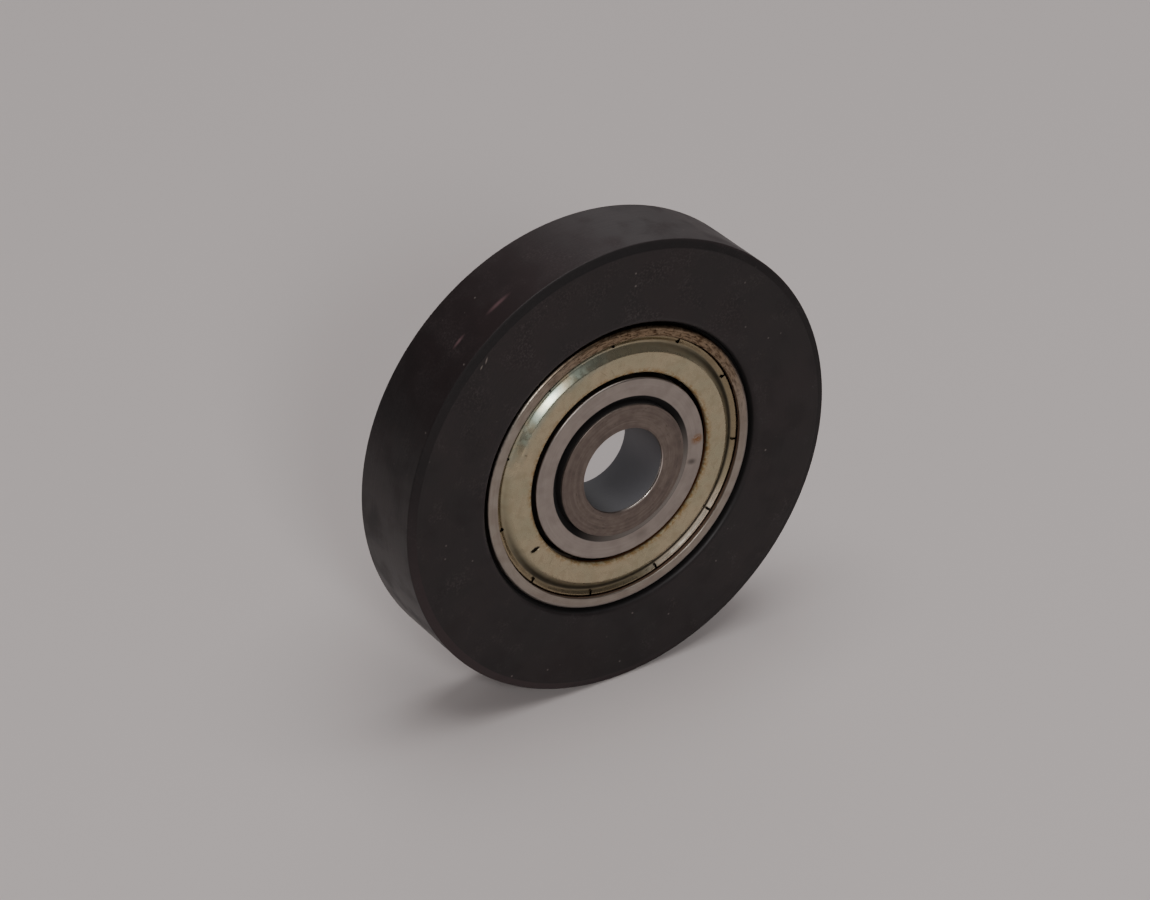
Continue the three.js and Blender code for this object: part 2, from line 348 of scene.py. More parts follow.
def outer_ring_steel():
    """The same ground steel with a straw shine. Damp has tarnished it brown in fine streaks and
    specks round the top, and its corner is grimy there. All round but at the upper left, the corner
    is painted a paler, less metallic grey, so that it looks lit: painted light. Inside the lip it
    is painted brown for dirt and for the shade under the lip."""
    made, tree = material("ground_outer_ring_steel")
    place, radius, along, direction = round_the_axis(tree)
    rings = turning_marks(tree, radius, along, direction, 0.12 * MM, 2.0)
    cloud = patches(tree, place, 1.6 * MM, 0.35, 0.7)
    streaks = turning_marks(tree, radius, along, direction, 0.16 * MM, 22.0)
    streaked = node(tree, "MapRange", {0: streaks, 1: 0.4, 2: 0.62}, **SMOOTH)
    specks = patches(tree, place, 0.28 * MM, 0.56, 0.68)
    damp_side = facing(tree, direction, 20, 0.2)
    tarnish = together(tree, damp_side, patches(tree, place, 1.1 * MM, 0.25, 0.6), streaked)
    curve = {0: radius, 1: OUTER_R - OUTER_CORNER - 0.12 * MM, 2: OUTER_R - 0.12 * MM}
    corner = together(
        tree, node(tree, "MapRange", curve, **SMOOTH), facing(tree, direction, 35, 0.1)
    )
    grime = together(tree, corner, patches(tree, place, 0.7 * MM, 0.2, 0.65))
    # Inside the lip, below its top edge: brown dirt and painted shade under the lip.
    depth = node(tree, "Math", {0: along}, operation="ABSOLUTE")
    mouth = node(tree, "MapRange", {0: radius, 1: OUTER_R - 0.5 * MM, 2: OUTER_R - MM}, **SMOOTH)
    below = {0: depth, 1: OUTER_FACE - 0.08 * MM, 2: OUTER_FACE - 0.2 * MM}
    dirt_and_shade = together(tree, mouth, node(tree, "MapRange", below, **SMOOTH))
    # Painted light: the corner is painted a paler, less metallic grey all round but at the upper
    # left.
    painted_corner_range = {0: radius, 1: OUTER_R - OUTER_CORNER, 2: OUTER_R - 0.9 * OUTER_CORNER}
    painted_band = together(
        tree, node(tree, "MapRange", painted_corner_range, **SMOOTH), facing(tree, direction, 150, -0.4)
    )
    colour = coated(
        tree, "#aea69c",
        ("#928a80", rings),
        ("#83786e", together(tree, cloud, 0.45)),
        ("#86693f", together(tree, damp_side, 0.6)),
        ("#3d2716", together(tree, tarnish, 0.85)),
        ("#1c110b", together(tree, damp_side, specks, 0.75)),
        ("#2c1f17", together(tree, grime, 0.75)),
        # Painted light on the corner, then brown dirt and painted shade inside the lip.
        ("#8b817a", together(tree, painted_band, 0.9)),
        ("#604534", together(tree, dirt_and_shade, 0.9)),
    )
    # Less metallic where the corner has painted light and where the lip has dirt and painted shade.
    less_metal = node(tree, "Math", {0: dirt_and_shade, 1: painted_band}, operation="MAXIMUM")
    metal = node(tree, "MapRange", {0: less_metal, 3: 1.0, 4: 0.2})
    worn = node(tree, "MapRange", {0: tarnish, 3: 0.3, 4: 0.5})
    rough = node(tree, "Mix", {0: dirt_and_shade, 2: worn, 3: 0.6})
    relief = node(tree, "Bump", {"Height": rings, "Distance": 0.004 * MM})
    pitted = node(tree, "Bump", {"Height": specks, "Distance": -0.01 * MM, "Normal": relief})
    shader = node(
        tree, "BsdfPrincipled",
        {"Base Color": colour, "Metallic": metal, "Roughness": rough, "Normal": pitted},
    )
    node(tree, "OutputMaterial", {0: shader})
    return made


outer_centre = PITCH_R + BALL_R + RACEWAY_GAP - RACEWAY_R
outer_open = np.arccos((OUTER_SHOULDER_R - outer_centre) / RACEWAY_R)
outer_half = rounded(
    [
        (OUTER_R, 0.0, 0.0),
        (OUTER_R, OUTER_FACE, OUTER_CORNER),
        (LIP_R, OUTER_FACE, LIP_EDGE),
        (LIP_R, OUTER_FACE - LIP_DEPTH, 0.05 * MM),
        (GROOVE_R, OUTER_FACE - LIP_DEPTH, 0.0),
        (GROOVE_R, SEAT, 0.0),
        (OUTER_SHOULDER_R, SEAT, 0.15 * MM),
        (OUTER_SHOULDER_R, RACEWAY_R * np.sin(outer_open) + 0.05 * MM, 0.0),
    ]
)[1:]
outer_spread = np.degrees(outer_open)
outer_outline = np.concatenate(
    [outer_half, groove(outer_centre, outer_spread, -outer_spread), outer_half[::-1] * (1, -1)]
)
outer = surface("bearing_outer_ring", turned(outer_outline, RING_SIDES))
finish(outer, outer_ring_steel(), "roller", "ring", "outer_ring")


# ---- Balls ----
# Nine balls of chrome steel, cold-headed, hardened, ground and lapped until they shine like a
# mirror, seen through a film of oil that has turned brown.

BALL_COUNT = sum(1 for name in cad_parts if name.startswith("ball_"))


def lapped_steel():
    """Lapped chrome steel: nearly a mirror, under an uneven film of old brown oil. Its grey and the
    film are dark partly as painted shade for the inside of the bearing.
    """
    made, tree = material("lapped_ball_steel")
    place = node(tree, "TexCoord", {}, out="Object")
    film = patches(tree, place, 1.2 * MM, 0.35, 0.7)
    # Dark for old oil and, in part, as painted shade for the gap where the balls are seen.
    colour = coated(tree, "#8f8b86", ("#5c5145", film))
    rough = node(tree, "MapRange", {0: film, 3: 0.1, 4: 0.22})
    shader = node(
        tree, "BsdfPrincipled", {"Base Color": colour, "Metallic": 1.0, "Roughness": rough}
    )
    node(tree, "OutputMaterial", {0: shader})
    return made


BALL_STEEL = lapped_steel()


def half_circle(radius, steps):
    """An outline from pole to pole: (radius cos a, radius sin a) for a from -90 to 90 degrees."""
    angle = np.radians(np.linspace(-90, 90, steps + 1))
    return np.stack([radius * np.abs(np.cos(angle)), radius * np.sin(angle)], axis=-1)


def on_pitch_circle(angle):
    """A place on the circle of the balls' centres, at an angle from +X towards +Z."""
    return PITCH_R * np.array([np.cos(angle), 0.0, np.sin(angle)])


for i in range(BALL_COUNT):
    name = f"ball_{i + 1}"
    grid = turned(half_circle(BALL_R, 32), 48) + on_pitch_circle(2 * np.pi * i / BALL_COUNT)
    ball = surface(f"bearing_{name}", grid, wrap_rows=False)
    finish(ball, BALL_STEEL, name, "ball", name)


# ---- Cage ----
# Two ribbons of cold-rolled strip, pressed into nine pockets that hold the balls apart, and held
# together between the balls by small steel rivets with domed heads.

FRONT, REAR = -1, 1
CAGE_THICKNESS = 0.45 * MM
CAGE_HALF_WIDTH = 1.0 * MM
CAGE_SPLIT = 0.01 * MM
CAGE_EDGE = 0.06 * MM
POCKET_R = 2.52 * MM
POCKET_STEPS = 12
FLAT_STEPS = 4
RIVET_R = 0.38 * MM
HEAD_R = 0.62 * MM
HEAD_HEIGHT = 0.34 * MM
HEAD_SEAT = CAGE_SPLIT + CAGE_THICKNESS + 0.01 * MM


def pressed_strip():
    """Cold-rolled strip under a thick film of old brown grease, which dulls it. It is painted dark
    for the grease and as painted shade inside the bearing.
    """
    made, tree = material("pressed_cage_strip")
    place = node(tree, "TexCoord", {}, out="Object")
    grease_and_shade = patches(tree, place, 1.5 * MM, 0.4, 0.65)
    # Dark for old grease and as painted shade inside the bearing.
    colour = coated(tree, "#4a4239", ("#2b2015", together(tree, grease_and_shade, 0.8)))
    rough = node(tree, "MapRange", {0: grease_and_shade, 3: 0.6, 4: 0.45})
    grain = node(tree, "TexNoise", {"Vector": place, "Scale": 1 / (0.15 * MM), "Detail": 2.0})
    relief = node(tree, "Bump", {"Height": grain, "Distance": 0.006 * MM})
    shader = node(
        tree, "BsdfPrincipled",
        {"Base Color": colour, "Metallic": 0.6, "Roughness": rough, "Normal": relief},
    )
    node(tree, "OutputMaterial", {0: shader})
    return made


CAGE_STEEL = pressed_strip()


def ribbon_row(r, clearance, flat):
    """One line of the ribbon at a radius, right round it, as (x, height, z). Over each ball it
    follows a circle about the ball's centre, of the given clearance; between balls it is flat."""
    hoop = np.sqrt(clearance**2 - (r - PITCH_R) ** 2)
    foot = np.arccos(flat / hoop)
    lean = np.linspace(-foot, foot, 2 * POCKET_STEPS + 1)
    over = np.arcsin(hoop * np.sin(lean) / r)
    gap = np.linspace(over[-1], 2 * np.pi / BALL_COUNT + over[0], FLAT_STEPS + 1)[1:-1]
    one_angle = np.concatenate([over, gap])
    one_height = np.concatenate([hoop * np.cos(lean), np.full(len(gap), flat)])
    turns = 2 * np.pi / BALL_COUNT * np.arange(BALL_COUNT)
    angle = (turns[:, None] + one_angle).ravel()
    height = np.tile(one_height, BALL_COUNT)
    return np.stack([r * np.cos(angle), height, r * np.sin(angle)], axis=-1)


def ribbon(side):
    """The strip's section carried round the ring: out along its under skin, back along its upper,
    with both long edges eased."""
    radii = PITCH_R + CAGE_HALF_WIDTH * np.array([-1, -0.94, -0.6, 0, 0.6, 0.94, 1])
    trim = CAGE_EDGE * np.array([1, 0, 0, 0, 0, 0, 1])
    top = CAGE_SPLIT + CAGE_THICKNESS
    under = [ribbon_row(r, POCKET_R + t, CAGE_SPLIT + t) for r, t in zip(radii, trim)]
    upper = [ribbon_row(r, POCKET_R + CAGE_THICKNESS - t, top - t) for r, t in zip(radii, trim)]
    return np.array(under + upper[::-1]) * (1, side, 1)


for word, side in (("front", FRONT), ("rear", REAR)):
    half = surface(f"cage_ribbon_{word}", ribbon(side))
    finish(half, CAGE_STEEL, "cage", "cage", f"cage_half_{word}")

rivet_half = rounded(
    [
        (RIVET_R, HEAD_SEAT, 0.0),
        (HEAD_R, HEAD_SEAT, 0.03 * MM),
        (HEAD_R, HEAD_SEAT + HEAD_HEIGHT, 0.3 * MM),
        (0.0, HEAD_SEAT + HEAD_HEIGHT, 0.0),
    ]
)
rivet_outline = np.concatenate([rivet_half[::-1] * (1, -1), rivet_half])
for i in range(BALL_COUNT):
    middle = on_pitch_circle(2 * np.pi * (i + 0.5) / BALL_COUNT)
    rivet = surface(f"cage_rivet_head_{i + 1}", turned(rivet_outline, 24) + middle, wrap_rows=False)
    finish(rivet, CAGE_STEEL, "cage", "cage", f"cage_rivet_{i + 1}")


# ---- Shields ----
# Thin steel pressings with a yellow passivated zinc coat. The flat keeps dirt out, its bore edge is
# turned in, and its rim is hemmed under and slotted, so that it springs into the ring's groove.

shield_low, shield_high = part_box("shield_front")
SHEET = 0.35 * MM
SHIELD_TOP = -shield_low.y
SHIELD_BORE_R = 10.74 * MM
LIP_LOW = 3.8 * MM
FLAT_R = 13.02 * MM
FOOT_R = 13.98 * MM
FOOT_HEIGHT = 3.7 * MM
BEAD_R = 14.6 * MM
BEAD_TOP = 4.08 * MM
RIM_R = shield_high.z
RIM_LOW = 3.1 * MM
RIM_TOP = 3.75 * MM
SLOT_INNER_R = 14.16 * MM
SLOT_COUNT = 11
SLOT_WIDTH = 0.2 * MM
SLOT_STEPS = 60
SLOT_START = {FRONT: 27.3, REAR: 13.0}
SLOT_PITCH = 2 * np.pi / SLOT_COUNT
HALF_SLOT = SLOT_WIDTH / 2 / SLOT_INNER_R
# Clocks of the upper left, where the wall faces the light, and of the rim's lit stretch and its
# painted highlight.
UPPER_LEFT_CLOCK = 322
RIM_LIT_CLOCK = 140
RIM_HIGHLIGHT_CLOCK = 141


def slot_shade(tree, radius, along, direction):
    """Painted shade in the rim's slots: 1 near a slot's middle line, past the slot's inner end. The
    angle from +X, less the first slot's angle, is folded back and forth at half the slots' pitch,
    which leaves the angle to the nearest slot."""
    part = node(tree, "SeparateXYZ", {0: direction}).node.outputs
    angle = node(tree, "Math", {0: part["Y"], 1: part["X"]}, operation="ARCTAN2")
    rear = node(tree, "Math", {0: along, 1: 0.0}, operation="GREATER_THAN")
    front_start, rear_start = np.radians([SLOT_START[FRONT], SLOT_START[REAR]])
    start = node(tree, "MapRange", {0: rear, 3: front_start, 4: rear_start})
    beyond = node(tree, "Math", {0: angle, 1: start}, operation="SUBTRACT")
    away = node(tree, "Math", {0: beyond, 1: SLOT_PITCH / 2}, operation="PINGPONG")
    slot = node(tree, "MapRange", {0: away, 1: 1.5 * HALF_SLOT, 2: 1.1 * HALF_SLOT}, **SMOOTH)
    outside = {0: radius, 1: SLOT_INNER_R - 0.1 * MM, 2: SLOT_INNER_R}
    return together(tree, slot, node(tree, "MapRange", outside, **SMOOTH))


def zinc_passivate():
    """Yellow passivated zinc on pressed steel: a soft straw shine, greenish and bluish on the side
    where the film is worn thin. Painted shade darkens the wall's foot all round but at the upper
    left, where the wall faces the light, and a painted shadow darkens the rim just past the foot
    there instead. The rim's edge under the ring's lip is painted dark for dirt and shade, and its
    slots are painted dark as painted shade. The rim has a darker tarnish coat, left off round a
    short stretch at the lower right, where it catches the light: painted light; there it also has a
    near-white painted highlight. There are a nick and hair scratches from handling, and rust at the
    bore's cut edge."""
    made, tree = material("yellow_passivated_zinc")
    place, radius, along, direction = round_the_axis(tree)
    film = patches(tree, place, 3.0 * MM, 0.3, 0.7)
    cloud = patches(tree, place, 0.9 * MM, 0.4, 0.75)
    fine = patches(tree, place, 0.35 * MM, 0.35, 0.65)
    outer_part = node(tree, "MapRange", {0: radius, 1: 12.2 * MM, 2: 13.4 * MM}, **SMOOTH)
    worn_side = facing(tree, direction, UPPER_LEFT_CLOCK, 0.72)
    thin = together(tree, worn_side, outer_part, patches(tree, place, 1.8 * MM, 0.3, 0.6))
    depth = node(tree, "Math", {0: along}, operation="ABSOLUTE")
    hole = {0: radius, 1: SHIELD_BORE_R + 0.24 * MM, 2: SHIELD_BORE_R + 0.1 * MM}
    bore = node(tree, "MapRange", hole, **SMOOTH)
    turned_in = {0: depth, 1: SHIELD_TOP - 0.16 * MM, 2: SHIELD_TOP - 0.34 * MM}
    edge = together(tree, bore, node(tree, "MapRange", turned_in, **SMOOTH))
    round_bore = {0: radius, 1: SHIELD_BORE_R + 0.75 * MM, 2: SHIELD_BORE_R}
    creep = together(tree, node(tree, "MapRange", round_bore, **SMOOTH), fine)
    # The rim's edge, in the gap under the ring's lip, is painted dark: dirt and painted shade.
    rim = {0: radius, 1: BEAD_R, 2: BEAD_R + 0.2 * MM}
    seam = together(tree, node(tree, "MapRange", rim, **SMOOTH), 0.85)
    # Painted shade: the wall's foot is painted dark all round but at the upper left, where it faces
    # the light.
    wall = node(tree, "MapRange", {0: radius, 1: FLAT_R, 2: FOOT_R - 0.2 * MM}, **SMOOTH)
    past = node(tree, "MapRange", {0: radius, 1: FOOT_R + 0.3 * MM, 2: FOOT_R}, **SMOOTH)
    wall_lit_half = facing(tree, direction, UPPER_LEFT_CLOCK, -0.2)
    other_half = node(tree, "Math", {0: 1.0, 1: wall_lit_half}, operation="SUBTRACT")
    foot = together(tree, wall, past, other_half)
    # The rim's darker tarnish coat is left off round its lit stretch at the lower right: painted
    # light.
    strip = node(tree, "MapRange", {0: radius, 1: FOOT_R, 2: FOOT_R + 0.25 * MM}, **SMOOTH)
    rim_lit_spot = facing(tree, direction, RIM_LIT_CLOCK, 0.7)
    off_lit_spot = node(tree, "Math", {0: 1.0, 1: rim_lit_spot}, operation="SUBTRACT")
    tarnish = together(tree, strip, off_lit_spot)
    # Painted highlight: a near-white stretch on the rim at the lower right.
    painted_rim_highlight = together(tree, strip, facing(tree, direction, RIM_HIGHLIGHT_CLOCK, 0.88))
    # Painted shadow: at the upper left, the rim just past the wall's foot is painted dark brown.
    past_foot = {0: radius, 1: FOOT_R - 0.02 * MM, 2: FOOT_R + 0.15 * MM}
    painted_foot_shadow = together(
        tree, node(tree, "MapRange", past_foot, **SMOOTH), facing(tree, direction, UPPER_LEFT_CLOCK, 0.3)
    )
    # Painted shade: the slots are painted dark.
    slits = slot_shade(tree, radius, along, direction)
    nick = mark(tree, place, 239.5, 12.05 * MM, (0.27 * MM, MM, 0.66 * MM), 0.4, 14, -SHIELD_TOP)
    dent = mark(tree, place, 295, 12.6 * MM, (0.14 * MM, MM, 0.26 * MM), 0.8, 10, -SHIELD_TOP)
    hairs = [
        mark(tree, place, clock, r * MM, (0.045 * MM, MM, half * MM), 0.9, lean, -SHIELD_TOP)
        for clock, r, half, lean in (
            (350, 11.9, 0.75, -38),
            (355, 11.6, 0.6, -25),
            (215, 12.0, 0.7, 30),
            (226, 11.8, 0.9, -20),
            (108, 12.2, 0.5, 55),
        )
    ]
    colour = coated(
        tree, "#b9ad91",
        ("#ada78c", film),
        ("#a3957a", together(tree, cloud, 0.45)),
        ("#8fa197", together(tree, thin, 0.75)),
        ("#94703a", together(tree, creep, 0.75)),
        # Next: painted shade, tarnish with painted light, painted highlight, painted shadow, dirt
        # and shade, slot shade.
        ("#241c0a", together(tree, foot, 0.95)),
        ("#7d6c52", together(tree, tarnish, 0.6)),
        ("#fff1dc", together(tree, painted_rim_highlight, 0.85)),
        ("#35291b", together(tree, painted_foot_shadow, 0.6)),
        ("#33261a", seam),
        ("#1f1610", together(tree, slits, 0.9)),
        *[("#6f6350", together(tree, hair, 0.55)) for hair in hairs],
        ("#5b5544", together(tree, dent, 0.7)),
        ("#1d1810", nick),
        ("#5a3313", edge),
    )
    rusted = together(tree, edge, 0.8)
    # Rust at the cut edge and the painted shade at the wall's foot are made less metallic.
    rust_and_shade = node(tree, "Math", {0: rusted, 1: together(tree, foot, 0.55)}, operation="MAXIMUM")
    metal = node(tree, "Math", {0: 1.0, 1: rust_and_shade}, operation="SUBTRACT")
    satin = node(tree, "MapRange", {0: cloud, 3: 0.24, 4: 0.36})
    dull = node(tree, "Math", {0: rust_and_shade, 1: bore}, operation="MAXIMUM")
    rough = node(tree, "Mix", {0: dull, 2: satin, 3: 0.75})
    rings = turning_marks(tree, radius, along, direction, 0.25 * MM, 2.0)
    relief = node(tree, "Bump", {"Height": rings, "Distance": 0.004 * MM})
    dented = node(tree, "Bump", {"Height": nick, "Distance": -0.08 * MM, "Normal": relief})
    shader = node(
        tree, "BsdfPrincipled",
        {"Base Color": colour, "Metallic": metal, "Roughness": rough, "Normal": dented},
    )
    node(tree, "OutputMaterial", {0: shader})
    return made


ZINC = zinc_passivate()


def shield_grid(side):
    """The pressing's section carried round the axis: at an angle a from +X towards +Z, a point
    stands at (radius cos a, along, radius sin a). The angles gather at the slots' edges, and inside
    a slot every point past the slot's inner end is drawn back to it, which leaves a gap."""
    whole = rounded(
        [
            (SHIELD_BORE_R, LIP_LOW, 0.05 * MM),
            (SHIELD_BORE_R + SHEET, LIP_LOW, 0.05 * MM),
            (SHIELD_BORE_R + SHEET, SHIELD_TOP - SHEET, 0.08 * MM),
            (FLAT_R - SHEET / 2, SHIELD_TOP - SHEET, 0.12 * MM),
            (FOOT_R - SHEET, RIM_LOW, 0.1 * MM),
            (RIM_R, RIM_LOW, 0.2 * MM),
            (RIM_R, RIM_TOP, 0.1 * MM),
            (BEAD_R, BEAD_TOP, 0.2 * MM),
            (FOOT_R, FOOT_HEIGHT, 0.4 * MM),
            (FLAT_R, SHIELD_TOP, 0.45 * MM),
            (SHIELD_BORE_R, SHIELD_TOP, 0.26 * MM),
        ]
    )
    past = np.maximum(whole[:, 0] - SLOT_INNER_R, 0)
    slotted = np.stack([whole[:, 0] - 0.999 * past, whole[:, 1]], axis=-1)
    tiny = 0.01 * HALF_SLOT
    slot = np.array([-HALF_SLOT, -HALF_SLOT + tiny, HALF_SLOT - tiny, HALF_SLOT])
    plain = np.linspace(HALF_SLOT, SLOT_PITCH - HALF_SLOT, SLOT_STEPS + 1)[1:-1]
    one = np.concatenate([slot, plain])
    in_slot = np.concatenate([[0.0, 1.0, 1.0, 0.0], np.zeros(len(plain))])
    starts = np.radians(SLOT_START[side]) + SLOT_PITCH * np.arange(SLOT_COUNT)
    angle = (starts[:, None] + one).ravel()
    share = np.tile(in_slot, SLOT_COUNT)
    section = whole[:, None, :] * (1 - share)[:, None] + slotted[:, None, :] * share[:, None]
    r, y = section[..., 0], side * section[..., 1]
    return np.stack([r * np.cos(angle), y, r * np.sin(angle)], axis=-1)


for word, side in (("front", FRONT), ("rear", REAR)):
    shield = surface(f"dust_shield_{word}", shield_grid(side))
    finish(shield, ZINC, "roller", "shield", f"shield_{word}")


# ---- Reducing bush ----
# A short sleeve turned from free-cutting steel bar and pressed into the inner ring from the front,
# where it stands a little proud. It brings the bearing's bore down to the stud's size.

bush_low, bush_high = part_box("reducing_bush")
BUSH_R = bush_high.z
BUSH_FRONT = bush_low.y
BUSH_REAR = bush_high.y
BUSH_LEAD = 0.35 * MM
STUD_R = 9.525 / 2 * MM


def turned_steel():
    """Free-cutting steel as it left the lathe: dull and brown-grey, with rings 0.25 mm apart on its
    end face and small torn pits. An oily film turns its reamed bore grey, and the bore is painted
    lighter towards the lower right: painted light. The bore's front edge is polished there, with a
    pale painted highlight, and the outside is painted black for dirt and for the shade in the
    crevice round it."""
    made, tree = material("turned_bush_steel")
    place, radius, along, direction = round_the_axis(tree)
    rings = turning_marks(tree, radius, along, direction, 0.25 * MM, 1.0)
    lines = node(tree, "MapRange", {0: rings, 1: 0.36, 2: 0.64}, **SMOOTH)
    mottle = patches(tree, place, 0.9 * MM, 0.35, 0.7)
    torn = turning_marks(tree, radius, along, direction, 0.14 * MM, 9.0)
    pits = node(tree, "MapRange", {0: torn, 1: 0.6, 2: 0.72}, **SMOOTH)
    behind = {0: along, 1: BUSH_FRONT + 0.12 * MM, 2: BUSH_FRONT + 0.3 * MM}
    back = node(tree, "MapRange", behind, **SMOOTH)
    hole = {0: radius, 1: STUD_R + 0.3 * MM, 2: STUD_R + 0.1 * MM}
    bore = together(tree, back, node(tree, "MapRange", hole, **SMOOTH))
    # The outside, down in the inner ring's chamfer, is painted black: dirt and painted shade.
    painted_band = {0: radius, 1: BUSH_R - 0.3 * MM, 2: BUSH_R - 0.1 * MM}
    side = together(tree, back, node(tree, "MapRange", painted_band, **SMOOTH))
    # Painted light: the bore is painted lighter towards the lower right.
    painted_bore_light = together(tree, bore, facing(tree, direction, 125, -0.1))
    # The bore's front edge at the lower right: polished, and painted pale as a painted highlight.
    eased = {0: radius, 1: STUD_R + 0.17 * MM, 2: STUD_R + 0.12 * MM}
    ahead = node(tree, "Math", {0: 1.0, 1: back}, operation="SUBTRACT")
    polish_and_painted_glint = together(
        tree, ahead, node(tree, "MapRange", eased, **SMOOTH), facing(tree, direction, 130, 0.5)
    )
    colour = coated(
        tree, "#82776f",
        ("#736963", lines),
        ("#5f5550", together(tree, mottle, 0.35)),
        ("#2f2826", together(tree, pits, 0.45)),
        ("#565557", bore),
        # Painted light in the bore, a painted highlight on its edge, and black outside for dirt and
        # shade.
        ("#77767a", together(tree, painted_bore_light, 0.8)),
        ("#c4bbb4", polish_and_painted_glint),
        ("#100b0a", side),
    )
    less_metal = node(tree, "Math", {0: bore, 1: 0.9}, operation="MULTIPLY")
    skinned = node(tree, "Math", {0: less_metal, 1: side}, operation="MAXIMUM")
    metal = node(tree, "Math", {0: 1.0, 1: skinned}, operation="SUBTRACT")
    dull = node(tree, "MapRange", {0: mottle, 3: 0.38, 4: 0.48})
    honed = node(tree, "Mix", {0: bore, 2: dull, 3: 0.55})
    bright = node(tree, "Mix", {0: polish_and_painted_glint, 2: honed, 3: 0.16})
    rough = node(tree, "Mix", {0: side, 2: bright, 3: 0.95})
    relief = node(tree, "Bump", {"Height": lines, "Distance": 0.006 * MM})
    shader = node(
        tree, "BsdfPrincipled",
        {"Base Color": colour, "Metallic": metal, "Roughness": rough, "Normal": relief},
    )
    node(tree, "OutputMaterial", {0: shader})
    return made


bush_outline = rounded(
    [
        (STUD_R, BUSH_FRONT, 0.12 * MM),
        (BUSH_R, BUSH_FRONT, 0.1 * MM),
        (BUSH_R, BUSH_REAR - BUSH_LEAD, 0.1 * MM),
        (BUSH_R - BUSH_LEAD / 2, BUSH_REAR, 0.06 * MM),
        (STUD_R, BUSH_REAR, 0.12 * MM),
    ]
)
bush = surface("stud_bush", turned(bush_outline, RING_SIDES))
finish(bush, turned_steel(), "hub", "bush", "reducing_bush")


# ---- Tyre ----
# A solid ring machined from dark brown-black plastic bar and pressed over the bearing. Its tread is
# flat, its edges are chamfered, its mouth is rounded, and use has scuffed it and left dust on it.

tyre_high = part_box("roller_tyre")[1]
TYRE_R = tyre_high.z
TYRE_FACE = tyre_high.y
CHAMFER_RADIAL = 0.9 * MM
CHAMFER_AXIAL = 0.34 * MM
TYRE_BORE_R = OUTER_R + 0.03 * MM
MOUTH_R = OUTER_R + 0.35 * MM
MOUTH_ROUNDING = 0.6 * MM
MOUTH_FLOOR = 3.6 * MM
TYRE_SIDES = 480


